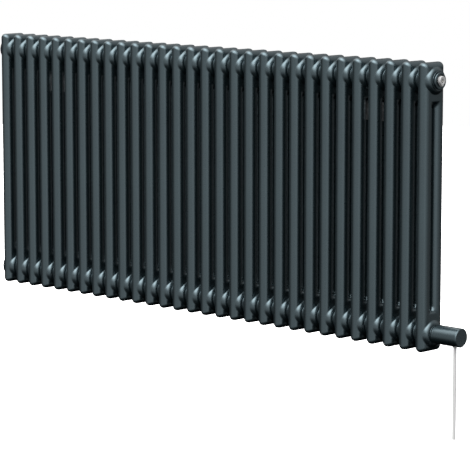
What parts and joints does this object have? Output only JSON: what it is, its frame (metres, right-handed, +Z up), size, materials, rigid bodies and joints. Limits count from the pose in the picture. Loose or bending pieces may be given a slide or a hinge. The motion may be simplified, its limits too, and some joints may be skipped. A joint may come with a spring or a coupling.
{
  "type": "column radiator",
  "caption": "Wall-hung steel column radiator with a swivelling air vent and its bleed screw, warmed by an electric element with a short hanging mains lead.",
  "frame": {"origin": "middle of the wall screws' pattern, on the wall's surface", "axes": "+X along the radiator towards the vent and the heating element, -Y into the room, +Z up"},
  "size_m": [1.421, 0.1, 0.77],
  "materials": {
    "painted_steel": "satin anthracite powder coat",
    "plated_metal": "satin nickel plate",
    "brass": "nickel-plated brass, dull",
    "rubber": "matt black",
    "bare_steel": "zinc-plated or stainless, dull",
    "ceramic": "unglazed steatite",
    "wire": "insulated wire",
    "cord_plastic": "soft white PVC"
  },
  "bodies": {
    "radiator": {"section_01": "painted_steel", "section_02": "painted_steel", "section_03": "painted_steel", "section_04": "painted_steel", "section_05": "painted_steel", "section_06": "painted_steel", "section_07": "painted_steel", "section_08": "painted_steel", "section_09": "painted_steel", "section_10": "painted_steel", "section_11": "painted_steel", "section_12": "painted_steel", "section_13": "painted_steel", "section_14": "painted_steel", "section_15": "painted_steel", "section_16": "painted_steel", "section_17": "painted_steel", "section_18": "painted_steel", "section_19": "painted_steel", "section_20": "painted_steel", "section_21": "painted_steel", "section_22": "painted_steel", "section_23": "painted_steel", "section_24": "painted_steel", "section_25": "painted_steel", "section_26": "painted_steel", "section_27": "painted_steel", "section_28": "painted_steel", "section_29": "painted_steel", "section_30": "painted_steel", "port_bosses": "painted_steel", "air_vent_plug": "painted_steel", "air_vent_gasket": "rubber", "blank_plug_top": "painted_steel", "blank_plug_bottom": "painted_steel", "blank_gasket_top": "rubber", "blank_gasket_bottom": "rubber", "element_plug": "painted_steel", "element_gasket": "rubber", "heating_rod": "bare_steel", "thermostat_pocket": "bare_steel", "element_housing": "painted_steel", "element_end_cap": "painted_steel", "end_cap_seal": "rubber", "terminal_block": "ceramic", "thermal_cut_out": "ceramic", "internal_wires": "wire", "cord_strain_relief": "cord_plastic", "mains_cord": "cord_plastic", "bracket_lower_left": "painted_steel", "bracket_lower_right": "painted_steel", "bracket_upper_left": "painted_steel", "bracket_upper_right": "painted_steel", "stay_rods": "bare_steel", "stay_clamps": "bare_steel", "stay_nuts": "bare_steel"},
    "vent_nozzle": {"vent_nozzle": "plated_metal", "nozzle_o_ring": "rubber"},
    "bleed_screw": {"bleed_screw": "brass", "bleed_o_ring": "rubber"}
  },
  "joints": [
    {"name": "nozzle_swivel", "type": "hinge", "parent": "radiator", "child": "vent_nozzle", "pos_m": [0.6782, -0.068, 0.2625], "axis": [1, 0, 0], "continuous": true},
    {"name": "bleed_turn", "type": "hinge", "parent": "radiator", "child": "bleed_screw", "pos_m": [0.6782, -0.068, 0.2625], "axis": [1, 0, 0], "range_deg": [0, 360]}
  ]
}
